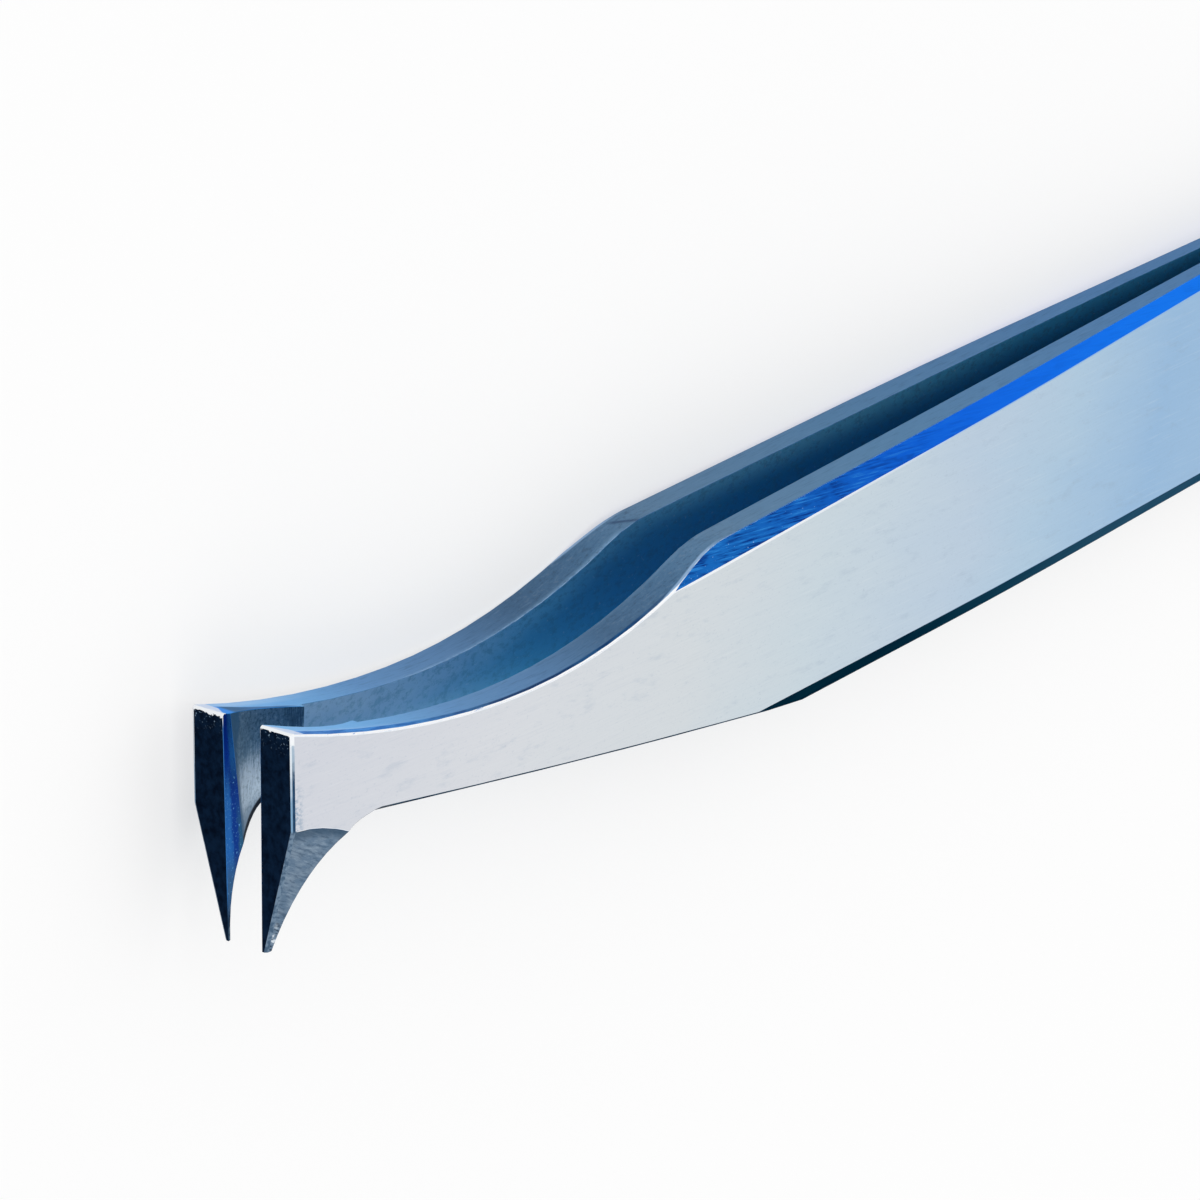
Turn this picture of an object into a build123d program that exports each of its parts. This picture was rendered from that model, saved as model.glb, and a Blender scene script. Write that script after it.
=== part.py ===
from build123d import *
import os
from math import atan, cos, degrees, radians, sin, tan

# Cutting tweezers with an angled head: two spring-steel arms, joined face to face at the tail.
# Each arm is drawn lying flat: X runs from the cutting front to the tail, Y is the arm's width
# with the cutting tip towards -Y, and Z is the distance from the plane midway between the arms.

# Length and width
overall_length = 115.0
shoulder_x = 26.3
shoulder_half_width = 4.41
shoulder_radius = 8.0
grip_x = 48.0
grip_half_width = 4.72
belly_x = 75.0
belly_half_width = 5.0
tail_half_width = 4.45
tail_corner_radius = 3.2

# Neck, waisted from above by a long scoop and from below by a straight cut
scoop_low_x = 15.5
scoop_low_y = 2.33
scoop_fall = [(5.0, 3.64), (10.0, 2.7)]
scoop_rise = [(22.0, 3.08)]
underside_angle = 9.8

# Head, with its front face square to the length
head_top = 5.09
tip_drop = 4.38
heel_x = 4.64
heel_y = 0.42

# Outer face: an outward bow over the head and neck, a flat flank, a waist and the flat tail
front_outer = 2.47
flank_start_x = 27.0
flank_end_x = 43.0
flank_outer = 2.93
waist_x = 66.0
waist_outer = 1.52
weld_start_x = 90.0
tail_thickness = 0.92

# Inner face: half the gap between the arms
edge_gap_top = 0.91
edge_gap_tip = 0.82
pad_end_x = 5.25
neck_gap = 1.42
bow_x = 18.0
bow_gap = 1.52
grip_gap = 1.13
waist_gap = 0.56

# Long bevels on both outer edges, widest at the shoulder and running out before the tail
upper_bevel_width = 0.95
lower_bevel_width = 0.66
bevel_angle = 20.0
bevel_end_x = 98.0

# Cutting edge: a narrow land behind the front face, then the hollow left by a grinding wheel
land_angle = 5.0
land_width_top = 0.5
land_width_tip = 1.6
wheel_radius = 6.6
wheel_entry_angle = 23.0

# Outer facet that thins the head towards its tip, slightly hollow from front to heel
facet_top_y = 1.02
facet_angle = 14.8
facet_back_angle = 4.5
facet_wheel_radius = 31.0

# Slanting grind behind the head, drawn on a plane beside the cutting edge, from the tip upwards
rear_plane_z = 1.0
rear_slant = 36.0
tip_depth = 0.24
rear_curve = [(0.35, -2.8), (0.64, -1.75), (1.2, -0.72), (1.93, 0.0)]

# Small edge breaks
head_edge_break = 0.1
neck_edge_break = 0.08

# How far cutting tools run past the metal
overrun = 6.0

tip_y = -tip_drop
reach = overall_length + 2 * overrun
rest_slope = (flank_outer - tail_thickness) / (overall_length - flank_start_x)


def outer_bow():
    """The bowed part of the outer face, from the flat flank to the front."""
    return TangentArc((flank_start_x, flank_outer), (0, front_outer), tangent=(-1, rest_slope))


def outer_line():
    """The arm's outer face seen along its width, from the front to the tail."""
    flank_end_outer = flank_outer - rest_slope * (flank_end_x - flank_start_x)
    flank = Line((flank_end_x, flank_end_outer), (flank_start_x, flank_outer))
    waist = Spline(
        (flank_end_x, flank_end_outer),
        (waist_x, waist_outer),
        (weld_start_x, tail_thickness),
        tangents=[(1, -rest_slope), (1, 0)],
    )
    tail = Line((weld_start_x, tail_thickness), (overall_length, tail_thickness))
    return outer_bow() + flank + waist + tail


def inner_line():
    """The arm's inner face seen along its width, from the pad at the head to the tail."""
    pad = Polyline((0, edge_gap_tip), (pad_end_x, edge_gap_tip), (pad_end_x, neck_gap))
    gap = Spline(
        (pad_end_x, neck_gap),
        (bow_x, bow_gap),
        (flank_end_x, grip_gap),
        (waist_x, waist_gap),
        (weld_start_x, 0),
        tangents=[(1, 0.02), (1, 0)],
    )
    weld = Line((weld_start_x, 0), (overall_length, 0))
    return pad + gap + weld


def thickness_blank():
    """The arm's varying thickness, carried straight across its width."""
    front = Line((0, edge_gap_tip), (0, front_outer))
    tail_end = Line((overall_length, 0), (overall_length, tail_thickness))
    section = make_face(Plane.XZ * (outer_line() + inner_line() + front + tail_end))
    half = belly_half_width + overrun
    return extrude(Pos(0, half, 0) * section, amount=2 * half)


def width_blank():
    """The arm's outline seen square to its outer face, before the underside of the neck is cut."""
    shoulder = (shoulder_x, shoulder_half_width)
    scoop = Spline((0, head_top), *scoop_fall, (scoop_low_x, scoop_low_y), *scoop_rise, shoulder)
    long_edge = Spline(
        shoulder,
        (grip_x, grip_half_width),
        (belly_x, belly_half_width),
        (overall_length, tail_half_width),
    )
    tail_end = Line((overall_length, tail_half_width), (overall_length, -tail_half_width))
    lower = Polyline((shoulder_x, -shoulder_half_width), (heel_x, tip_y), (0, tip_y), (0, head_top))
    outline = make_face(scoop + long_edge + tail_end + mirror(long_edge, Plane.XZ) + lower)
    outline = fillet(outline.vertices().group_by(Axis.X)[-1], tail_corner_radius)
    outline = fillet(outline.vertices().sort_by_distance(shoulder)[0], shoulder_radius)
    return extrude(outline, amount=overrun)


def underside_cut():
    """Everything below the straight underside of the neck, behind the heel of the head."""
    run = flank_end_x
    drop = run * tan(radians(underside_angle))
    floor = tip_y - drop
    region = Polyline(
        (heel_x, heel_y), (heel_x + run, heel_y - drop), (heel_x + run, floor), (heel_x, floor), close=True
    )
    return extrude(make_face(region), amount=overrun)


def long_bevel(width):
    """A bevel on the arm's upper long edge, which follows the bowed outer face."""
    cap = Polyline(
        (overall_length, tail_thickness), (overall_length, overrun), (0, overrun), (0, front_outer)
    )
    outside = make_face(Plane.XZ * (outer_line() + cap))
    start_y = shoulder_half_width - width
    run_out = (belly_half_width - start_y) / (bevel_end_x - shoulder_x)
    outside = Pos(0, start_y - run_out * shoulder_x, 0) * Rot(0, 0, degrees(atan(run_out))) * outside
    along = Vector(0, cos(radians(bevel_angle)), -sin(radians(bevel_angle)))
    bevel = extrude(Pos(-overrun * along) * outside, amount=2 * overrun, dir=along)
    behind_neck = Pos(scoop_low_x, 0, 0) * Box(reach, reach, reach, align=(Align.MIN, Align.CENTER, Align.CENTER))
    return bevel & behind_neck


def cutting_land():
    """Everything under the land that backs the cutting edge, from the front to the pad's end."""
    below = Box(2.5 * land_width_tip, reach, overrun, align=(Align.CENTER, Align.CENTER, Align.MAX))
    edge_lean = degrees(atan((edge_gap_top - edge_gap_tip) / (head_top + tip_drop)))
    return Pos(0, tip_y, edge_gap_tip) * Rot(edge_lean, -land_angle, 0) * below


def hollow():
    """The wheel that hollows the inner side of the head behind the land."""
    rise = tan(radians(land_angle))
    heel_top = Vector(land_width_top, head_top, edge_gap_top + land_width_top * rise)
    heel_tip = Vector(land_width_tip, tip_y, edge_gap_tip + land_width_tip * rise)
    entry = radians(wheel_entry_angle)
    to_centre = Vector(wheel_radius * sin(entry), 0, -wheel_radius * cos(entry))
    along = heel_top - heel_tip
    face = Plane(origin=heel_tip + to_centre - along, z_dir=along)
    return extrude(face * Circle(wheel_radius), amount=3 * along.length)


def rear_grind():
    """The slanting grind behind the head, curved from the heel down to the tip."""
    slant = radians(rear_slant)
    heel_outer = (IntersectingLine((heel_x, 0), (0, 1), outer_bow()) @ 1).Y
    heel_run = heel_x - tan(slant) * (heel_outer - rear_plane_z)
    curve = Spline((tip_depth, tip_y), *rear_curve, (heel_run, heel_y), tangents=[(0, 1), (1, 0.1)])
    frame = Polyline(
        (heel_run, heel_y), (2 * heel_x, heel_y), (2 * heel_x, 2 * tip_y), (tip_depth, 2 * tip_y), (tip_depth, tip_y)
    )
    along = Vector(sin(slant), 0, cos(slant))
    region = make_face(curve + frame)
    start = Pos(0, 0, rear_plane_z) * Pos(-overrun * tan(slant), 0, -overrun) * region
    grind = extrude(start, amount=2 * overrun / cos(slant), dir=along)
    head_only = Pos(heel_x, 0, 0) * Box(reach, reach, reach, align=(Align.MAX, Align.CENTER, Align.CENTER))
    return grind & head_only


def outer_facet():
    """The wheel that grinds the facet, standing on the front's outer edge."""
    wheel = Rot(90, 0, 0) * Cylinder(facet_wheel_radius, reach)
    contact = Pos(0, facet_top_y, front_outer) * Rot(facet_angle, -facet_back_angle, 0)
    return contact * Pos(0, 0, facet_wheel_radius) * wheel


def arm():
    """One arm, on the +Z side of the plane midway between the two."""
    body = thickness_blank() & width_blank()
    body -= underside_cut()
    body -= [long_bevel(upper_bevel_width), mirror(long_bevel(lower_bevel_width), Plane.XZ)]
    body -= [cutting_land(), hollow(), rear_grind(), outer_facet()]
    body = chamfer(outer_front_edges(body), head_edge_break)
    return chamfer(outer_neck_edges(body), neck_edge_break)


def outer_neck_edges(body):
    """The long edges of the bowed outer face, above and below the neck."""
    bow = body.faces().filter_by(GeomType.CYLINDER).sort_by(SortBy.AREA)[-1]
    return bow.edges().sort_by(SortBy.LENGTH)[-2:]


def outer_front_edges(body):
    """The front face's top edge, its outer upright edge and its edge with the facet."""
    front = body.faces().sort_by(Axis.X)[0]
    return front.edges().sort_by(Axis.Z)[-3:]


def lie_down(upper, lower):
    """Lays the pair on the lower arm's flat flank, centred over the origin."""
    turn = Rot(0, degrees(atan(rest_slope)), 0)
    upper = turn * upper
    lower = turn * lower
    box = Compound([upper, lower]).bounding_box()
    middle = box.center()
    place = Pos(-middle.X, -middle.Y, -box.min.Z)
    return place * upper, place * lower


upper_arm = arm()
lower_arm = mirror(upper_arm, Plane.XY)
upper_arm, lower_arm = lie_down(upper_arm, lower_arm)

os.makedirs("parts", exist_ok=True)
export_step(upper_arm, "parts/upper_arm.step")
export_step(lower_arm, "parts/lower_arm.step")
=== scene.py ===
import math

import bpy
from mathutils import Matrix, Vector

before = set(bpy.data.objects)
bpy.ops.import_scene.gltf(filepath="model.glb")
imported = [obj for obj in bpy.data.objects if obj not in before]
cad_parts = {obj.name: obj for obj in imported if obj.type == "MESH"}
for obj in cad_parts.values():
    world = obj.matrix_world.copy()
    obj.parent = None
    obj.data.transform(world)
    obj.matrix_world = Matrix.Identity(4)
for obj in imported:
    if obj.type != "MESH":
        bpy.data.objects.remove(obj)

# Cutting tweezers lying on one side: two ground spring-steel arms whose faces carry painted
# reflections and painted shade, bright, blue and dark.
# Metres, in the row frame: X from the cutting front to the tail, Y the arm's width with the cutting
# tip towards -Y, Z up from the surface that the lower arm's flank rests on.
# Colours are sRGB from 0 to 255; places and grain sizes inside the materials are in millimetres.

MM = 0.001

# The camera's place: a long lens, turned about its own axis so that the arm's width stands upright
CAMERA_LENS = 240.0
CAMERA_SENSOR = 36.0
CAMERA_NEAR = 0.01
CAMERA_DISTANCE = 0.3209
CAMERA_AIM = Vector((-0.03484, 0.00266, 0.00303))
CAMERA_AZIMUTH = math.radians(-117.12)
CAMERA_ELEVATION = math.radians(35.015)
CAMERA_ROLL = math.radians(106.42)

# Plane midway between the arms, as it lies when the lower arm rests on its flank
FRONT_X = -57.468 * MM
MIDDLE_Z = 3.5458 * MM
REST_TILT = math.radians(1.3085)

# Main places along and across an arm, from the front and from its middle line
ARM_LENGTH = 115.0
HEAD_END_X = 5.25
FACET_TOP_Y = 1.02
BODY_TOP_Y = 5.2

# How far the gap side lies from the middle plane, on the head and behind it
PAD_GAP = 0.86
NECK_GAP = 1.48

# Stretches of x over which one look gives way to the next
FACET_TO_BEVEL = (5.5, 6.0)
HEAD_TO_NECK = (5.0, 14.0)
NECK_TO_SHOULDER = (21.0, 23.5)
NECK_TO_BODY = (24.0, 25.0)

# The neck's upper outline (x, y), and its outer face's distance from the middle plane at x, as a
# constant, a slope and a bend
NECK_LENGTH = 27.0
NECK_TOP = [
    (0.0, 5.09), (5.0, 3.64), (10.0, 2.7), (15.5, 2.33), (22.0, 3.08), (26.3, 4.3), (27.0, 4.4),
]
NECK_OUTER = (2.47, 0.0569, -0.00148)

# The head's rear edge (x, y) on a plane 1 mm from the middle one, and the reach of both
REAR_EDGE = [
    (-5.0, -5.0), (0.35, -2.8), (0.64, -1.75), (1.2, -0.72), (1.93, 0.0), (3.3, 0.42), (5.0, 0.5),
]
REAR_REACH = 5.0

# Lines, each as a constant and a slope: how far the rear edge leans back at a depth, the y where the
# upper bevel starts at x, the x where the land ends at y, the x of the shoulder's crease at a depth,
# and how far the wedge on the lower head reaches from the gap at x
REAR_LEAN = (-0.727, 0.727)
BEVEL_LINE = (2.84, 0.022)
LAND_LINE = (1.091, -0.1162)
CREASE_LINE = (28.36, -0.87)
WEDGE_LINE = (1.27, -0.137)

# How steeply the bevel falls from its start, and how the head's white corner widens from the gap
BEVEL_FALL = 0.364
WHITE_END_SLOPE = 0.83

# Colours along the arm, from the front: painted reflections on each kind of face
OUTER_COLOURS = [
    (0.0, (213, 216, 224)), (12.0, (219, 222, 227)), (24.0, (216, 222, 226)), (34.0, (206, 219, 227)),
    (45.0, (193, 211, 228)), (52.0, (182, 208, 229)), (61.0, (159, 194, 227)), (74.0, (166, 198, 228)),
    (92.0, (192, 208, 224)), (115.0, (204, 212, 222)),
]
BEVEL_COLOURS = [
    (0.0, (22, 98, 184)), (28.0, (22, 104, 188)), (34.0, (14, 92, 186)), (40.0, (10, 94, 208)),
    (46.0, (12, 102, 226)), (60.0, (14, 118, 240)), (115.0, (20, 116, 226)),
]
SIDE_COLOURS = [
    (0.0, (162, 218, 252)), (4.0, (142, 204, 244)), (10.0, (112, 166, 218)), (15.0, (102, 146, 192)),
    (20.0, (78, 112, 146)), (24.0, (82, 118, 152)), (28.0, (104, 142, 176)), (40.0, (96, 142, 182)),
    (60.0, (88, 138, 188)), (115.0, (90, 136, 182)),
]
GAP_COLOURS = [
    (0.0, (176, 208, 232)), (8.0, (176, 210, 234)), (15.0, (154, 202, 234)), (21.0, (124, 206, 238)),
    (35.0, (134, 216, 244)), (45.0, (124, 216, 244)), (55.0, (92, 200, 238)), (115.0, (80, 160, 210)),
]
# Painted shade: the gap side's colours deeper below its upper edge
SHADED_GAP_COLOURS = [
    (0.0, (150, 190, 220)), (12.0, (140, 188, 224)), (20.0, (92, 180, 220)), (35.0, (64, 172, 218)),
    (115.0, (56, 140, 196)),
]

# Rounded edges: a narrow strip on every crisp edge, coloured with painted highlights
EDGE_WIDTH = 0.024 * MM
EDGE_SEGMENTS = 2
EDGE_ANGLE = math.radians(12.5)
WELD_REACH = 0.0001 * MM
FLAT_ANGLE = math.radians(0.2)

# Surface relief, and the tint of the metal's reflections at a grazing angle, a painted reflection that
# is bluer on the head's upper sides and painted shade that is darker on all lower faces
FACE_RELIEF = 0.002 * MM
EDGE_RELIEF = 0.001 * MM
GRAZING_TINT = (206, 206, 206)
HEAD_GRAZING_TINT = (192, 212, 244)
LOWER_GRAZING_TINT = (130, 156, 168)

# Sockets of the Mix node, as (A, B, result): for colours and for numbers
MIX_COLOURS = (6, 7, 2)
MIX_NUMBERS = (2, 3, 0)

# The surface under the tweezers: its size in metres, its shade, and how far it glows where it is
# seen; and the colour of the surround
FLOOR_SIZE = 3.0
FLOOR_SHADE = 0.97
FLOOR_GLOW = 0.55
WHITE = (1.0, 1.0, 1.0, 1.0)

bpy.context.view_layer.update()


def linear(srgb):
    """An sRGB colour, 0 to 255, as the linear RGBA that a socket takes."""
    out = []
    for value in srgb:
        v = value / 255.0
        out.append(v / 12.92 if v <= 0.04045 else ((v + 0.055) / 1.055) ** 2.4)
    return (*out, 1.0)


class Nodes:
    """Builds a material's node tree with short calls."""

    def __init__(self, material):
        material.use_nodes = True
        self.tree = material.node_tree
        self.tree.nodes.clear()

    def add(self, kind, **settings):
        """A new node with these settings."""
        node = self.tree.nodes.new(kind)
        for name, value in settings.items():
            setattr(node, name, value)
        return node

    def put(self, socket, value):
        """Links the value to the socket, or sets it there when it is plain."""
        if isinstance(value, bpy.types.NodeSocket):
            self.tree.links.new(value, socket)
        else:
            socket.default_value = value

    def math(self, operation, a, b=0.0, c=0.0):
        """The result of a Math node."""
        node = self.add("ShaderNodeMath", operation=operation)
        for socket, value in zip(node.inputs, (a, b, c)):
            self.put(socket, value)
        return node.outputs[0]

    def both(self, *masks):
        """Where every mask is 1; a plain number caps the whole."""
        whole = masks[0]
        for mask in masks[1:]:
            whole = self.math("MULTIPLY", whole, mask)
        return whole

    def unless(self, mask):
        """Where the mask is 0."""
        return self.math("SUBTRACT", 1.0, mask)

    def shift(self, value, mask, most):
        """The value, moved by most where the mask is 1."""
        return self.math("MULTIPLY_ADD", mask, most, value)

    def along(self, line, value):
        """The result at value of a line given as a constant and a slope."""
        return self.math("MULTIPLY_ADD", value, line[1], line[0])

    def step(self, value, low, high):
        """0 below low and 1 above high, smooth between them; low may be the larger."""
        node = self.add("ShaderNodeMapRange", interpolation_type="SMOOTHSTEP")
        swap = low > high
        self.put(node.inputs["Value"], value)
        self.put(node.inputs["From Min"], high if swap else low)
        self.put(node.inputs["From Max"], low if swap else high)
        self.put(node.inputs["To Min"], 1.0 if swap else 0.0)
        self.put(node.inputs["To Max"], 0.0 if swap else 1.0)
        return node.outputs["Result"]

    def mix(self, factor, a, b):
        """Colour a where the factor is 0 and b where it is 1; plain triples are sRGB."""
        a, b = (linear(colour) if isinstance(colour, tuple) else colour for colour in (a, b))
        return self.between("RGBA", MIX_COLOURS, factor, a, b)

    def paint(self, below, mask, above, most=None):
        """Colour below with colour above over it where the mask is 1, by the share most if given."""
        share = mask if most is None else self.both(mask, most)
        return self.mix(share, below, above)

    def blend(self, factor, a, b):
        """Number a where the factor is 0 and b where it is 1."""
        return self.between("FLOAT", MIX_NUMBERS, factor, a, b)

    def between(self, kind, sockets, factor, a, b):
        """The result of a Mix node of this kind."""
        node = self.add("ShaderNodeMix", data_type=kind)
        at_a, at_b, result = sockets
        self.put(node.inputs["Factor"], factor)
        self.put(node.inputs[at_a], a)
        self.put(node.inputs[at_b], b)
        return node.outputs[result]

    def ramp(self, value, stops):
        """A colour ramp from (millimetres along the arm, sRGB) stops."""
        node = self.add("ShaderNodeValToRGB")
        elements = node.color_ramp.elements
        while len(elements) < len(stops):
            elements.new(0.5)
        for element, (place, colour) in zip(elements, stops):
            element.position = place / ARM_LENGTH
            element.color = linear(colour)
        self.put(node.inputs[0], self.math("DIVIDE", value, ARM_LENGTH))
        return node.outputs[0]

    def line(self, value, points, low, high):
        """A smooth line through (value, result) points, with both within low to high."""
        node = self.add("ShaderNodeFloatCurve")
        curve = node.mapping.curves[0]
        reach = high - low
        while len(curve.points) < len(points):
            curve.points.new(0.5, 0.5)
        for point, (place, result) in zip(curve.points, points):
            point.location = ((place - low) / reach, (result - low) / reach)
            point.handle_type = "AUTO_CLAMPED"
        node.mapping.update()
        part = self.math("DIVIDE", self.math("SUBTRACT", value, low), reach)
        self.put(node.inputs["Value"], part)
        return self.math("MULTIPLY_ADD", node.outputs[0], reach, low)

    def grain(self, vector, size, turn=0.0, detail=2.0, rough=0.55, seed=0.0):
        """Noise with grains of size = (length, width, depth), turned in the XY plane by degrees."""
        node = self.add("ShaderNodeMapping", vector_type="TEXTURE")
        self.put(node.inputs["Vector"], vector)
        self.put(node.inputs["Location"], (seed, seed, seed))
        self.put(node.inputs["Rotation"], (0.0, 0.0, math.radians(turn)))
        self.put(node.inputs["Scale"], size)
        noise = self.add("ShaderNodeTexNoise")
        self.put(noise.inputs["Vector"], node.outputs[0])
        self.put(noise.inputs["Scale"], 1.0)
        self.put(noise.inputs["Detail"], detail)
        self.put(noise.inputs["Roughness"], rough)
        return noise.outputs[0]

    def level(self, vector):
        """The vector, turned as if the plane between the arms lay flat."""
        node = self.add("ShaderNodeVectorRotate", rotation_type="Y_AXIS")
        self.put(node.inputs["Vector"], vector)
        self.put(node.inputs["Angle"], -REST_TILT)
        return node.outputs[0]

    def split(self, vector):
        """The vector's x, y and z."""
        node = self.add("ShaderNodeSeparateXYZ")
        self.put(node.inputs[0], vector)
        return node.outputs


class Place:
    """Where a point lies on an arm, and which way its face looks, with the pair lying flat."""

    def __init__(self, n):
        coordinates = n.add("ShaderNodeTexCoord")
        from_front = n.add("ShaderNodeVectorMath", operation="SUBTRACT")
        n.put(from_front.inputs[0], coordinates.outputs["Object"])
        n.put(from_front.inputs[1], (FRONT_X, 0.0, MIDDLE_Z))
        scaled = n.add("ShaderNodeVectorMath", operation="SCALE")
        n.put(scaled.inputs[0], n.level(from_front.outputs[0]))
        n.put(scaled.inputs["Scale"], 1 / MM)
        self.point = scaled.outputs[0]
        self.x, self.y, z = n.split(self.point)
        self.forward, self.up, upright = n.split(n.level(coordinates.outputs["Normal"]))
        self.upper_arm = n.step(z, -0.1, 0.1)
        self.lower_arm = n.unless(self.upper_arm)
        self.outward = n.math("MULTIPLY", upright, n.math("SIGN", z))
        self.depth = n.math("ABSOLUTE", z)
        self.measure(n)

    def measure(self, n):
        """Distances from the main edges, and how far each change along the arm has been passed."""
        self.drop = n.math("SUBTRACT", n.line(self.x, NECK_TOP, 0.0, NECK_LENGTH), self.y)
        self.above_bevel = n.math("SUBTRACT", self.y, n.along(BEVEL_LINE, self.x))
        bend = n.math("MULTIPLY_ADD", self.x, NECK_OUTER[2], NECK_OUTER[1])
        outer = n.math("MULTIPLY_ADD", bend, self.x, NECK_OUTER[0])
        self.to_outer = n.math("SUBTRACT", outer, self.depth)
        behind_pad = n.step(self.x, HEAD_END_X, HEAD_END_X + 0.1)
        self.from_gap = n.math("SUBTRACT", self.depth, n.blend(behind_pad, PAD_GAP, NECK_GAP))
        self.land_end = n.along(LAND_LINE, self.y)
        self.past_facet = n.step(self.x, *FACET_TO_BEVEL)
        self.past_head = n.step(self.x, *HEAD_TO_NECK)
        self.past_waist = n.step(self.x, *NECK_TO_SHOULDER)
        self.past_neck = n.step(self.x, *NECK_TO_BODY)


class Finish:
    """A face's colour, roughness and surface height."""

    def __init__(self, colour, rough, height):
        self.colour = colour
        self.rough = rough
        self.height = height


def lay_over(n, mask, below, above):
    """The finish above shows where the mask is 1."""
    return Finish(
        n.mix(mask, below.colour, above.colour),
        n.blend(mask, below.rough, above.rough),
        n.blend(mask, below.height, above.height),
    )


def outer_finish(n, p):
    """Finely brushed bright outer face, bluer towards the tail and the lower edge as a painted
    reflection, with painted highlights along its upper rims.
    """
    drift = n.grain(p.point, (9.0, 3.0, 9.0), turn=-12, seed=3.0)
    blue_place = n.math("ADD", n.shift(p.x, p.y, -0.4), n.blend(drift, -3.0, 3.0))
    colour = n.ramp(blue_place, OUTER_COLOURS)
    brushed = n.grain(p.point, (2.6, 0.08, 3.0), turn=-3, detail=4.0, rough=0.65)
    cloud = n.grain(p.point, (1.6, 0.5, 1.5), turn=-8, detail=4.0, rough=0.65, seed=7.0)
    speckle = n.grain(p.point, (0.16, 0.1, 0.2), turn=-8, seed=12.0)
    colour = n.paint(colour, n.step(brushed, 0.5, 0.8), (156, 174, 196), 0.13)
    colour = n.paint(colour, n.step(brushed, 0.45, 0.25), (236, 240, 244), 0.16)
    colour = n.paint(colour, n.step(cloud, 0.54, 0.74), (150, 170, 192), 0.2)
    colour = n.paint(colour, n.step(speckle, 0.58, 0.8), (148, 166, 188), 0.22)
    by_front = n.both(n.step(p.x, 0.75, 0.2), n.step(p.y, 3.6, 1.6), n.step(speckle, 0.4, 0.62))
    colour = n.paint(colour, by_front, (128, 158, 184), 0.7)
    # Painted highlight along the neck's upper rim, and along the body's rim by the bevel
    neck_rim = n.both(n.step(p.drop, 0.15, 0.1), n.unless(p.past_neck))
    colour = n.paint(colour, neck_rim, (250, 251, 253), 0.4)
    body_rim = n.both(n.step(p.above_bevel, -0.1, -0.04), p.past_neck)
    colour = n.paint(colour, n.both(body_rim, n.step(p.x, 46.0, 28.0)), (246, 249, 252))
    return Finish(colour, n.blend(brushed, 0.26, 0.4), brushed)


def bevel_finish(n, p):
    """Upper bevel, blue from a painted reflection, coarsely ground near the shoulder and smooth
    towards the tail.
    """
    colour = n.ramp(p.x, BEVEL_COLOURS)
    ground = n.grain(p.point, (2.2, 0.1, 1.0), turn=-7, detail=4.0, rough=0.65, seed=2.0)
    patch = n.grain(p.point, (1.4, 0.5, 1.5), turn=-7, detail=3.0, seed=5.0)
    near_shoulder = n.step(p.x, 48.0, 30.0)
    dark = n.both(n.step(ground, 0.46, 0.6), n.step(patch, 0.35, 0.55))
    colour = n.paint(colour, dark, (4, 48, 126), n.blend(near_shoulder, 0.1, 0.95))
    light = n.step(ground, 0.46, 0.34)
    colour = n.paint(colour, light, (52, 142, 220), n.blend(near_shoulder, 0.05, 0.7))
    speck = n.grain(p.point, (0.14, 0.1, 0.2), detail=1.0, seed=11.0)
    bright = n.both(n.step(speck, 0.75, 0.8), n.step(p.x, 38.0, 28.0))
    colour = n.paint(colour, bright, (150, 200, 250))
    return Finish(colour, n.blend(ground, 0.22, 0.38), ground)


def lower_bevel_finish(n, p):
    """Lower bevel, dark teal as painted shade, slate towards the tail."""
    ground = n.grain(p.point, (2.0, 0.08, 1.0), turn=6, detail=3.0, seed=4.0)
    teal = n.mix(ground, (10, 48, 54), (32, 70, 78))
    slate = n.mix(ground, (62, 84, 102), (86, 108, 130))
    colour = n.mix(n.step(p.x, 38.0, 60.0), teal, slate)
    return Finish(colour, n.blend(ground, 0.28, 0.42), ground)


def facet_finish(n, p):
    """Slate facet, ground across with short wavy marks, with painted shade under its arched upper
    line.
    """
    marks = n.grain(p.point, (0.6, 0.1, 0.3), turn=-30, detail=4.0, rough=0.65, seed=1.0)
    cloud = n.grain(p.point, (0.9, 0.4, 0.5), turn=-28, detail=3.0, seed=6.0)
    colour = n.mix(n.step(cloud, 0.35, 0.65), (100, 124, 148), (124, 144, 164))
    colour = n.paint(colour, n.step(marks, 0.5, 0.62), (64, 88, 112), 0.5)
    colour = n.paint(colour, n.step(marks, 0.45, 0.33), (160, 178, 196), 0.4)
    # Painted shade under the facet's curved upper line
    under_line = n.step(n.shift(p.to_outer, cloud, -0.16), 0.06, -0.04)
    colour = n.paint(colour, under_line, (54, 80, 104), 0.7)
    at_tip = n.both(n.step(p.y, -2.6, -3.8), n.step(marks, 0.5, 0.6))
    colour = n.paint(colour, at_tip, (24, 42, 62))
    tip_chip = n.both(n.step(p.y, -3.0, -3.8), n.step(cloud, 0.55, 0.62))
    colour = n.paint(colour, tip_chip, (220, 230, 238))
    return Finish(colour, n.blend(marks, 0.3, 0.5), marks)


def front_finish(n, p):
    """Blue-black front face, a painted dark reflection, faintly mottled, with a ragged painted
    highlight along its top edge.
    """
    mottle = n.grain(p.point, (0.3, 0.4, 0.3), detail=4.0, rough=0.7, seed=8.0)
    colour = n.mix(n.step(mottle, 0.3, 0.7), (2, 12, 30), (12, 32, 56))
    speck = n.grain(p.point, (0.1, 0.1, 0.1), detail=1.0, seed=2.5)
    near_top = n.step(p.y, 3.9, 4.9)
    colour = n.paint(colour, n.both(n.step(speck, 0.64, 0.72), near_top), (110, 134, 156))
    # Painted highlight, ragged, along the top edge
    ragged_top = n.grain(p.point, (0.25, 0.25, 0.3), detail=3.0, rough=0.6, seed=9.0)
    past_top_highlight = n.math("SUBTRACT", n.shift(p.y, ragged_top, 0.5), n.blend(p.upper_arm, 5.12, 5.19))
    colour = n.paint(colour, n.step(past_top_highlight, 0.0, 0.04), (244, 247, 251))
    return Finish(colour, n.blend(mottle, 0.4, 0.55), mottle)


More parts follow.
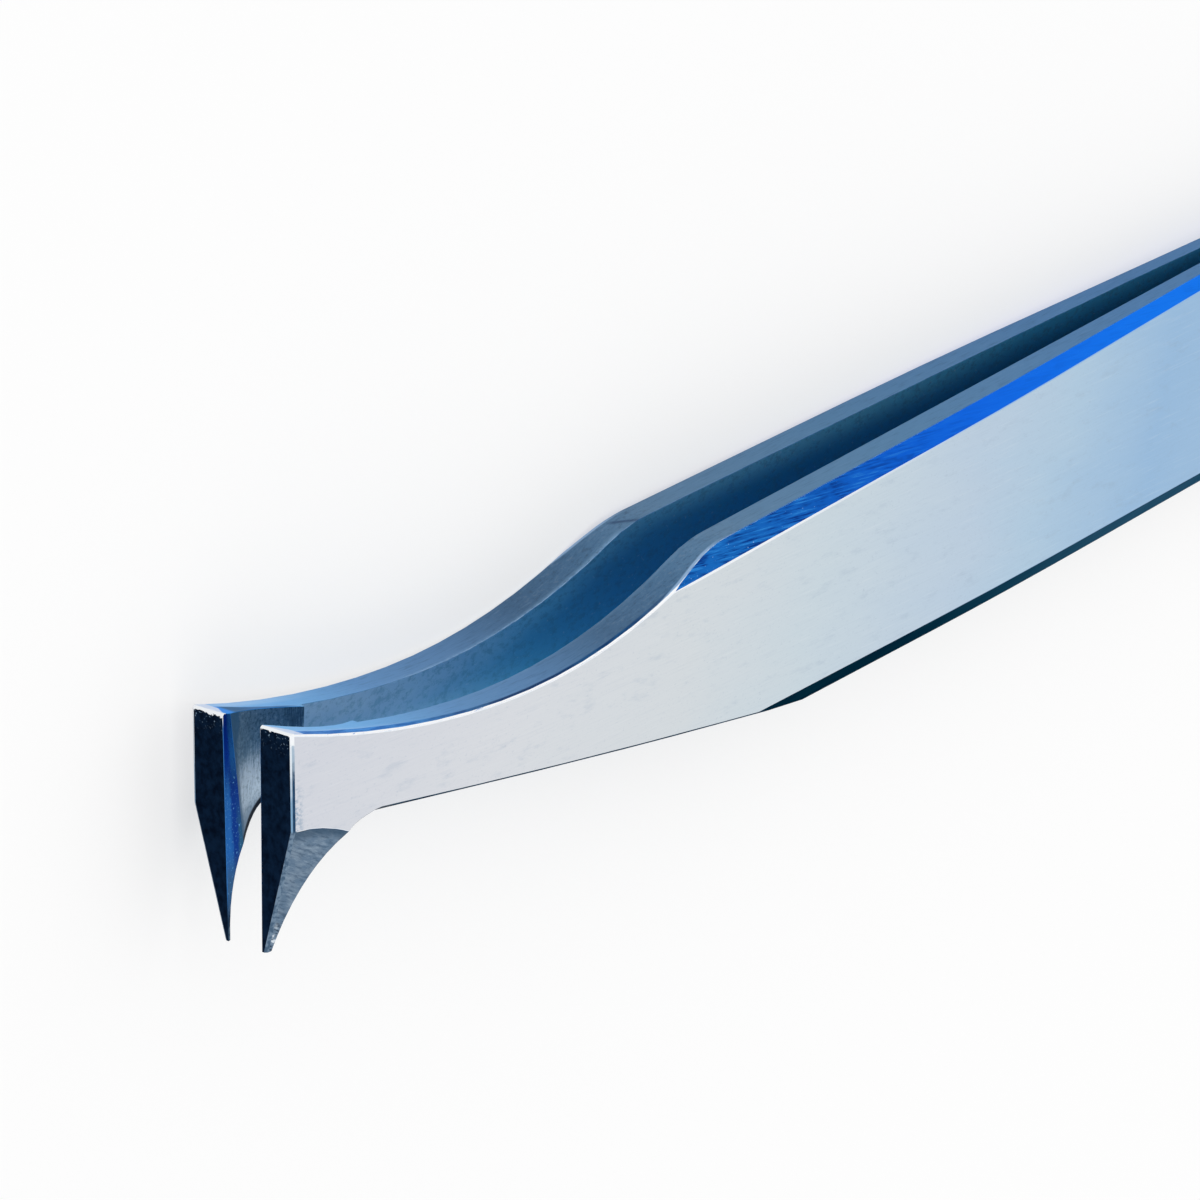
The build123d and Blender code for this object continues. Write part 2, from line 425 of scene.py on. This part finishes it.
def front_break_finish(n, p):
    """Edge breaks round the front: a painted white highlight at the top, and a pale painted highlight
    and a dark line of painted shade down the outer side.
    """
    ragged = n.grain(p.point, (0.2, 0.25, 0.25), detail=3.0, seed=4.5)
    height = n.shift(p.y, ragged, 1.4)
    pale = n.mix(n.step(height, 4.6, 2.6), (226, 234, 242), (128, 166, 198))
    dark = n.mix(ragged, (8, 36, 66), (56, 92, 126))
    dark = n.mix(n.step(height, 5.0, 3.6), (170, 190, 208), dark)
    lines = n.mix(n.step(p.x, 0.03, 0.05), pale, dark)
    colour = n.mix(n.step(height, 5.5, 5.0), (246, 249, 252), lines)
    on_facet = n.step(p.y, FACET_TOP_Y + 0.05, FACET_TOP_Y - 0.1)
    slate = n.mix(n.step(ragged, 0.4, 0.6), (116, 138, 160), (76, 100, 124))
    colour = n.mix(on_facet, colour, slate)
    return Finish(colour, n.blend(ragged, 0.3, 0.45), ragged)


def neck_break_finish(n, p):
    """Thin edge breaks of the neck: a white painted highlight with blue specks on top of the upper
    arm, a sky-blue painted reflection on top of the lower one, and painted shade below."""
    ragged = n.grain(p.point, (0.7, 0.1, 0.3), detail=3.0, seed=6.5)
    white = n.mix(n.step(ragged, 0.6, 0.74), (254, 254, 255), (110, 156, 214))
    sky = n.mix(ragged, (120, 176, 226), (170, 206, 240))
    dark = n.mix(n.step(ragged, 0.35, 0.65), (22, 36, 50), (86, 104, 122))
    colour = n.mix(n.step(p.up, -0.1, 0.1), dark, n.mix(p.upper_arm, sky, white))
    return Finish(colour, 0.35, ragged)


def gap_gleam(n, p, smudge):
    """Mask and colour of a pale, broken painted highlight on the neck's sides next to the gap."""
    on_neck = n.both(n.step(p.x, 9.0, 14.0), n.step(p.x, 26.6, 25.4))
    strength = n.both(n.blend(p.upper_arm, 0.6, 0.2), n.step(smudge, 0.3, 0.6))
    return n.both(on_neck, n.step(p.from_gap, 0.28, 0.0), strength), (150, 190, 226)


def blue_line(n, p):
    """Mask and colour of the broken blue line of painted shade along the upper arm's neck, next to its
    outer face.
    """
    broken = n.grain(p.point, (2.4, 0.3, 0.3), detail=3.0, rough=0.6, seed=9.4)
    width = n.blend(n.step(p.x, 2.0, 14.0), 0.52, 0.24)
    in_line = n.step(n.math("SUBTRACT", p.to_outer, width), 0.05, -0.05)
    mask = n.both(in_line, n.step(p.x, 25.0, 20.0), n.step(p.x, 0.3, 0.7), p.upper_arm)
    deep = n.mix(p.past_head, (16, 116, 196), (4, 60, 112))
    lit = n.mix(p.past_head, (72, 156, 226), (28, 86, 138))
    return mask, n.mix(n.step(broken, 0.44, 0.58), deep, lit)


def bevel_rim(n, p):
    """Mask and colour of the pale rim, a painted highlight, where the upper bevel begins at the
    shoulder.
    """
    off_bevel = n.shift(p.to_outer, p.above_bevel, -BEVEL_FALL)
    at_shoulder = n.both(n.step(p.x, 22.6, 23.4), n.step(p.x, 28.0, 26.0))
    return n.both(n.step(off_bevel, 0.17, 0.08), at_shoulder, 0.8), (160, 192, 226)


def gap_wedge(n, p):
    """Mask and colour of the painted shade in the wedge next to the gap on top of the lower arm's
    head, bright blue at its front.
    """
    past_wedge = n.math("SUBTRACT", p.from_gap, n.along(WEDGE_LINE, p.x))
    on_head = n.both(n.step(p.x, 0.15, 0.3), n.step(p.x, 5.2, 4.2))
    colour = n.mix(n.step(p.x, 0.75, 1.2), (34, 158, 248), (38, 98, 136))
    colour = n.mix(n.step(p.x, 1.6, 2.8), colour, (64, 116, 164))
    return n.both(n.step(past_wedge, 0.06, -0.06), on_head, p.lower_arm), colour


def white_end(n, p):
    """Mask and colour of the white painted highlight on the corner on top of the head, wider away from
    the gap.
    """
    past_corner = n.shift(p.x, p.from_gap, -WHITE_END_SLOPE)
    return n.both(n.step(past_corner, 0.05, -0.05), n.step(p.x, 0.8, 0.68)), (250, 252, 255)


def crease(n, p):
    """Mask and colour of the painted shade in the crease across the lower arm's shoulder."""
    off_crease = n.math("ABSOLUTE", n.math("SUBTRACT", p.x, n.along(CREASE_LINE, p.depth)))
    by_gap = n.step(p.depth, 2.45, 2.15)
    return n.both(n.step(off_crease, 0.26, 0.0), by_gap, p.lower_arm, 0.7), (50, 72, 108)


def side_finish(n, p):
    """The arm's narrow long sides and the neck's scoop, in painted reflections: sky blue at the head,
    paler at the front, and slate behind.
    """
    colour = n.ramp(p.x, SIDE_COLOURS)
    pale_front = n.both(n.step(p.x, 8.0, 2.0), n.step(p.to_outer, 0.8, 0.4))
    colour = n.paint(colour, pale_front, (190, 226, 252))
    drawn = n.grain(p.point, (1.1, 0.3, 0.09), detail=4.0, rough=0.65, seed=5.5)
    darker = n.blend(n.step(p.x, 11.0, 5.0), 0.35, 0.15)
    colour = n.paint(colour, n.step(drawn, 0.5, 0.75), (54, 82, 112), darker)
    colour = n.paint(colour, n.step(drawn, 0.42, 0.25), (140, 172, 204), 0.25)
    smudge = n.grain(p.point, (0.3, 0.3, 0.16), detail=4.0, rough=0.75, seed=1.5)
    at_shoulder = n.both(n.step(p.x, 16.0, 22.0), n.step(p.x, 31.0, 27.0))
    colour = n.paint(colour, n.both(at_shoulder, n.step(smudge, 0.5, 0.7)), (62, 80, 100), 0.5)
    colour = n.paint(colour, n.both(at_shoulder, n.step(smudge, 0.48, 0.3)), (122, 142, 162), 0.4)
    marks = (
        gap_gleam(n, p, smudge), blue_line(n, p), bevel_rim(n, p),
        gap_wedge(n, p), white_end(n, p), crease(n, p),
    )
    for mask, mark_colour in marks:
        colour = n.paint(colour, mask, mark_colour)
    # Painted shade on faces that look down
    colour = n.paint(colour, n.step(p.up, 0.0, -0.2), n.mix(drawn, (34, 56, 78), (66, 90, 112)))
    return Finish(colour, n.blend(drawn, 0.3, 0.48), drawn)


def inner_finish(n, p):
    """The gap side of the neck and body, mottled, with painted shade that darkens it away from its
    upper edge.
    """
    wave = n.grain(p.point, (2.0, 0.8, 1.0), detail=3.0, seed=4.4)
    on_neck = n.shift(p.drop, wave, 1.0)
    on_body = n.math("SUBTRACT", BODY_TOP_Y, p.y)
    below = n.blend(n.step(p.x, 26.0, 28.0), on_neck, on_body)
    bright = n.ramp(p.x, GAP_COLOURS)
    colour = n.paint(bright, n.step(below, 0.7, 1.9), n.ramp(p.x, SHADED_GAP_COLOURS))
    mottle = n.grain(p.point, (0.5, 0.3, 0.4), detail=4.0, rough=0.7, seed=2.2)
    colour = n.paint(colour, n.step(mottle, 0.46, 0.66), (72, 140, 176), 0.45)
    speck = n.grain(p.point, (0.18, 0.16, 0.2), seed=6.1)
    colour = n.paint(colour, n.step(speck, 0.64, 0.76), (190, 222, 244), 0.3)
    return Finish(colour, n.blend(mottle, 0.35, 0.5), mottle)


def by_rear_edge(n, p, ragged):
    """Mask of a ragged strip of painted shadow along the head's slanting rear edge."""
    unleant = n.math("SUBTRACT", p.x, n.along(REAR_LEAN, p.depth))
    height = n.math("SUBTRACT", p.y, n.line(unleant, REAR_EDGE, -REAR_REACH, REAR_REACH))
    return n.both(n.step(n.shift(height, ragged, 0.12), 0.4, 0.28), n.step(unleant, 0.85, 1.3))


def hollow_finish(n, p):
    """The wheel-ground hollow behind the cutting edge: dark above, pale and streaked below."""
    streaks = n.grain(p.point, (0.06, 0.9, 0.5), turn=-4, detail=4.0, rough=0.65, seed=3.3)
    mottle = n.grain(p.point, (0.16, 0.16, 0.2), detail=4.0, rough=0.7, seed=7.7)
    height = n.math("ADD", p.y, n.blend(streaks, -1.0, 1.0))
    colour = n.mix(n.step(height, 3.0, 1.7), (98, 134, 162), (184, 204, 222))
    colour = n.paint(colour, n.step(height, 1.0, 0.0), (120, 142, 164))
    colour = n.paint(colour, n.step(streaks, 0.5, 0.68), (84, 116, 144), 0.6)
    high = n.step(p.y, 2.0, 3.4)
    colour = n.paint(colour, n.step(mottle, 0.5, 0.6), (60, 94, 116), n.blend(high, 0.35, 0.75))
    colour = n.paint(colour, n.step(mottle, 0.44, 0.34), (146, 172, 196), n.blend(high, 0.3, 0.6))
    behind_land = n.math("SUBTRACT", p.x, n.shift(p.land_end, mottle, 0.2))
    by_land = n.step(n.shift(behind_land, n.step(p.y, 3.0, 4.4), -0.6), 0.3, -0.05)
    shade = n.mix(n.step(p.y, 2.2, 4.0), (42, 90, 128), (48, 104, 144))
    colour = n.paint(colour, by_land, shade, 0.8)
    near_end = n.both(n.step(p.x, 4.0, 4.7), n.step(streaks, 0.38, 0.55))
    colour = n.paint(colour, near_end, (50, 84, 110), 0.75)
    # Painted shadow along the rear edge
    colour = n.paint(colour, by_rear_edge(n, p, mottle), (8, 22, 38))
    return Finish(colour, n.blend(streaks, 0.3, 0.5), streaks)


def land_finish(n, p):
    """The cutting edge's land in painted reflections: a sky-blue strip in front, deep blue and teal
    behind, a dull tip.
    """
    ragged = n.grain(p.point, (0.12, 0.4, 0.3), detail=3.0, rough=0.6, seed=5.1)
    across = n.math("ADD", n.math("DIVIDE", p.x, p.land_end), n.blend(ragged, -0.18, 0.18))
    colour = n.mix(n.step(across, 0.28, 0.5), (32, 98, 172), (4, 54, 136))
    bright = n.mix(n.step(across, 0.3, 0.7), (2, 74, 190), (50, 132, 206))
    colour = n.paint(colour, n.step(p.y, 1.8, 3.4), bright)
    rear = n.both(n.step(across, 0.66, 0.84), n.step(p.y, 1.6, -0.4))
    colour = n.paint(colour, rear, (40, 88, 124))
    dull = n.mix(ragged, (30, 66, 106), (68, 104, 136))
    colour = n.paint(colour, n.step(p.y, -0.6, -2.2), dull, 0.85)
    speck = n.grain(p.point, (0.09, 0.09, 0.1), seed=8.1)
    colour = n.paint(colour, n.both(n.step(speck, 0.62, 0.72), n.step(p.y, 3.6, 2.2)), (96, 156, 210))
    tip = n.mix(n.step(ragged, 0.5, 0.62), (12, 30, 48), (98, 116, 130))
    colour = n.paint(colour, n.step(p.y, -2.6, -3.7), tip, 0.85)
    return Finish(colour, n.blend(ragged, 0.22, 0.36), ragged)


def face_masks(n, p):
    """One mask for each kind of face, told apart by where the face looks and lies."""
    outside = n.step(p.outward, 0.6, 0.8)
    inside = n.step(p.outward, -0.5, -0.7)
    head = n.step(p.x, HEAD_END_X + 0.01, HEAD_END_X - 0.01)
    behind_land = n.math("SUBTRACT", p.x, p.land_end)
    edge_break = n.both(n.step(p.outward, 0.55, 0.65), n.step(p.outward, 0.85, 0.78))
    return {
        "outer": outside,
        "upper_bevel": n.both(outside, n.step(p.up, 0.1, 0.25)),
        "lower_bevel": n.both(outside, n.step(p.up, -0.1, -0.25), p.past_facet),
        "facet": n.both(outside, n.step(p.up, -0.08, -0.18), n.unless(p.past_facet)),
        "neck_break": edge_break,
        "inner": inside,
        "hollow": n.both(inside, head),
        "land": n.both(inside, head, n.step(behind_land, 0.01, -0.01)),
        "front_break": n.both(n.step(p.forward, -0.4, -0.55), n.step(p.x, 2.0, 1.0)),
        "front": n.step(p.forward, -0.85, -0.95),
    }


def grazing_tint(n, p):
    """The tint of reflections at a grazing angle: bluer on the head's upper sides, and darker as
    painted shade on the lower faces.
    """
    head_side = n.both(n.step(p.up, 0.8, 0.95), n.step(p.x, 12.0, 4.0))
    underside = n.both(n.step(p.up, -0.1, -0.25), p.past_facet)
    tint = n.mix(head_side, GRAZING_TINT, HEAD_GRAZING_TINT)
    return n.mix(underside, tint, LOWER_GRAZING_TINT)


def finish_shader(n, p, finish, relief):
    """Bare metal with the finish's colour, roughness and relief in metres."""
    shader = n.add("ShaderNodeBsdfPrincipled")
    n.put(shader.inputs["Base Color"], finish.colour)
    n.put(shader.inputs["Metallic"], 1.0)
    n.put(shader.inputs["Specular Tint"], grazing_tint(n, p))
    n.put(shader.inputs["Roughness"], finish.rough)
    bump = n.add("ShaderNodeBump")
    n.put(bump.inputs["Strength"], 1.0)
    n.put(bump.inputs["Distance"], relief)
    n.put(bump.inputs["Height"], finish.height)
    n.put(shader.inputs["Normal"], bump.outputs[0])
    out = n.add("ShaderNodeOutputMaterial")
    n.put(out.inputs["Surface"], shader.outputs[0])


def ground_steel():
    """Ground steel with painted reflections and shade: bright outside, blue bevels, a blue-black front
    and a dark gap side.
    """
    material = bpy.data.materials.new("ground_steel")
    n = Nodes(material)
    p = Place(n)
    mask = face_masks(n, p)
    finish = side_finish(n, p)
    layers = {
        "outer": outer_finish, "upper_bevel": bevel_finish, "lower_bevel": lower_bevel_finish,
        "facet": facet_finish, "neck_break": neck_break_finish, "inner": inner_finish,
        "hollow": hollow_finish, "land": land_finish, "front_break": front_break_finish,
        "front": front_finish,
    }
    for name, make in layers.items():
        finish = lay_over(n, mask[name], finish, make(n, p))
    finish_shader(n, p, finish, FACE_RELIEF)
    return material


def side_strip(n, p, spotty):
    """Mask and colour of the strip from a long side to the outer face or bevel, in painted highlights
    and painted reflections.
    """
    mask = n.both(n.step(p.outward, 0.2, 0.35), n.step(p.up, 0.1, 0.3))
    head = n.mix(spotty, (28, 114, 196), (112, 174, 230))
    neck = n.mix(p.past_head, head, (14, 66, 116))
    neck = n.mix(p.upper_arm, (130, 184, 232), neck)
    shoulder = n.mix(spotty, (120, 156, 200), (206, 226, 246))
    body = n.mix(spotty, (50, 106, 172), (76, 128, 186))
    colour = n.mix(p.past_waist, neck, shoulder)
    return mask, n.mix(n.step(p.x, 26.0, 29.0), colour, body)


def face_strip(n, p, spotty):
    """Mask and colour of the painted white highlight on the strip round the outer face and along the
    upper arm's neck, bluer behind.
    """
    off_bevel_top = n.blend(p.past_waist, 1.0, n.step(p.up, 0.42, 0.34))
    by_face = n.both(n.step(p.outward, 0.78, 0.88), n.step(p.up, -0.12, -0.06), off_bevel_top)
    on_chamfer = n.both(n.step(p.outward, 0.64, 0.7), n.step(p.up, -0.1, 0.1))
    by_neck = n.both(on_chamfer, n.unless(p.past_neck), p.upper_arm)
    mask = n.math("MAXIMUM", by_face, by_neck)
    white = n.mix(spotty, (232, 240, 248), (252, 253, 255))
    return mask, n.mix(n.step(p.x, 32.0, 50.0), white, (150, 190, 230))


def gap_strip(n, p, spotty):
    """Mask and colour of the painted highlight on the strip from a long side to the gap side, behind
    the head.
    """
    mask = n.both(n.step(p.outward, -0.2, -0.4), n.step(p.up, 0.1, 0.3), n.step(p.x, 5.2, 5.6))
    neck = n.mix(n.both(spotty, n.step(p.x, 8.0, 16.0)), (92, 136, 182), (156, 190, 224))
    body = n.mix(spotty, (60, 104, 150), (92, 134, 178))
    return mask, n.mix(n.step(p.x, 24.0, 28.0), neck, body)


def land_strip(n, p):
    """Mask and colour of the strip behind the land, which takes the land's own colour."""
    mask = n.both(n.step(p.outward, -0.6, -0.75), n.step(p.x, HEAD_END_X, HEAD_END_X - 0.3))
    return mask, land_finish(n, p).colour


def front_strips(n, p):
    """Masks and colours of the strips round the front, and then of the cutting edge, with a painted
    white highlight at the top and painted reflections below.
    """
    at_front = n.step(p.x, 0.22, 0.16)
    cutting_edge = n.both(at_front, n.step(p.from_gap, 0.3, 0.2), n.step(p.outward, 0.1, -0.1))
    colour = n.mix(n.step(p.y, -1.8, -3.6), (52, 118, 190), (30, 52, 76))
    colour = n.mix(n.step(p.y, 4.4, 4.9), colour, (244, 248, 252))
    return (at_front, front_break_finish(n, p).colour), (cutting_edge, colour)


def edge_highlight():
    """The narrow strip on crisp edges, painted bright as a highlight, with painted shade where it
    looks down.
    """
    material = bpy.data.materials.new("edge_highlight")
    n = Nodes(material)
    p = Place(n)
    edge_grain = n.grain(p.point, (0.8, 0.3, 0.3), detail=4.0, rough=0.7, seed=1.9)
    spotty = n.step(edge_grain, 0.35, 0.65)
    # Painted shade on the strips that look down
    dark = n.mix(spotty, (16, 30, 46), (64, 84, 104))
    colour = n.paint(side_finish(n, p).colour, n.step(p.up, -0.1, -0.3), dark)
    strips = (
        side_strip(n, p, spotty), face_strip(n, p, spotty), gap_strip(n, p, spotty),
        land_strip(n, p), *front_strips(n, p),
    )
    for mask, strip_colour in strips:
        colour = n.paint(colour, mask, strip_colour)
    finish_shader(n, p, Finish(colour, n.blend(edge_grain, 0.25, 0.4), edge_grain), EDGE_RELIEF)
    return material


def plain_normals():
    """A modifier's nodes that let the mesh be shaded afresh after it is welded."""
    group = bpy.data.node_groups.new("plain_normals", "GeometryNodeTree")
    group.interface.new_socket("Geometry", in_out="INPUT", socket_type="NodeSocketGeometry")
    group.interface.new_socket("Geometry", in_out="OUTPUT", socket_type="NodeSocketGeometry")
    start = group.nodes.new("NodeGroupInput")
    end = group.nodes.new("NodeGroupOutput")
    normals = group.nodes.new("GeometryNodeSetMeshNormal")
    normals.mode = "SHARPNESS"
    normals.inputs["Remove Custom"].default_value = True
    angle = group.nodes.new("GeometryNodeInputMeshEdgeAngle")
    sharp = group.nodes.new("FunctionNodeCompare")
    sharp.operation = "GREATER_THAN"
    sharp.inputs[1].default_value = EDGE_ANGLE
    group.links.new(start.outputs[0], normals.inputs["Mesh"])
    group.links.new(angle.outputs["Unsigned Angle"], sharp.inputs[0])
    group.links.new(sharp.outputs[0], normals.inputs["Edge Sharpness"])
    group.links.new(normals.outputs[0], end.inputs[0])
    return group


def dress_arms():
    """Gives both arms the steel, and a narrow rounded strip with painted highlights along their crisp
    edges.
    """
    materials = (ground_steel(), edge_highlight())
    normals = plain_normals()
    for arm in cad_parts.values():
        arm.data.materials[0] = materials[0]
        arm.data.materials.append(materials[1])
        weld = arm.modifiers.new("weld", "WELD")
        weld.merge_threshold = WELD_REACH
        flatten = arm.modifiers.new("flatten", "DECIMATE")
        flatten.decimate_type = "DISSOLVE"
        flatten.angle_limit = FLAT_ANGLE
        shade = arm.modifiers.new("shade", "NODES")
        shade.node_group = normals
        edges = arm.modifiers.new("edges", "BEVEL")
        edges.width = EDGE_WIDTH
        edges.segments = EDGE_SEGMENTS
        edges.limit_method = "ANGLE"
        edges.angle_limit = EDGE_ANGLE
        edges.use_clamp_overlap = False
        edges.harden_normals = True
        edges.material = 1


def add_camera():
    """The photograph's view."""
    azimuth, elevation = CAMERA_AZIMUTH, CAMERA_ELEVATION
    back = Vector((
        math.sin(azimuth) * math.cos(elevation),
        -math.cos(azimuth) * math.cos(elevation),
        math.sin(elevation),
    ))
    data = bpy.data.cameras.new("camera")
    data.lens = CAMERA_LENS
    data.sensor_width = CAMERA_SENSOR
    data.clip_start = CAMERA_NEAR
    camera = bpy.data.objects.new("camera", data)
    bpy.context.scene.collection.objects.link(camera)
    level_turn = (-back).to_track_quat("-Z", "Y").to_matrix()
    camera.matrix_world = (
        Matrix.Translation(CAMERA_AIM + back * CAMERA_DISTANCE)
        @ (level_turn @ Matrix.Rotation(CAMERA_ROLL, 3, "Z")).to_4x4()
    )
    bpy.context.scene.camera = camera


def floor_paper():
    """White paper that takes a shadow but shows as nearly white to the camera and in the metal."""
    material = bpy.data.materials.new("floor")
    n = Nodes(material)
    paper = n.add("ShaderNodeBsdfDiffuse")
    n.put(paper.inputs["Color"], (FLOOR_SHADE, FLOOR_SHADE, FLOOR_SHADE, 1.0))
    glow = n.add("ShaderNodeEmission")
    ray = n.add("ShaderNodeLightPath")
    seen = n.math("MAXIMUM", ray.outputs["Is Camera Ray"], ray.outputs["Is Glossy Ray"])
    seen = n.math("MAXIMUM", seen, ray.outputs["Is Transmission Ray"])
    mixed = n.add("ShaderNodeMixShader")
    n.put(mixed.inputs[0], n.both(seen, FLOOR_GLOW))
    n.put(mixed.inputs[1], paper.outputs[0])
    n.put(mixed.inputs[2], glow.outputs[0])
    out = n.add("ShaderNodeOutputMaterial")
    n.put(out.inputs["Surface"], mixed.outputs[0])
    return material


def add_floor():
    """A plain white surface under the tweezers."""
    half = FLOOR_SIZE / 2
    corners = [(-half, -half, 0), (half, -half, 0), (half, half, 0), (-half, half, 0)]
    mesh = bpy.data.meshes.new("floor")
    mesh.from_pydata(corners, [], [(0, 1, 2, 3)])
    mesh.materials.append(floor_paper())
    floor = bpy.data.objects.new("floor", mesh)
    bpy.context.scene.collection.objects.link(floor)


def light_scene():
    """A plain white surround."""
    world = bpy.data.worlds.new("world")
    bpy.context.scene.world = world
    world.use_nodes = True
    background = world.node_tree.nodes["Background"]
    background.inputs["Color"].default_value = WHITE
    background.inputs["Strength"].default_value = 1.0
    bpy.context.scene.view_settings.view_transform = "Standard"


def write_sizes():
    """Updates the view layer."""
    bpy.context.view_layer.update()


dress_arms()
add_floor()
light_scene()
add_camera()
write_sizes()
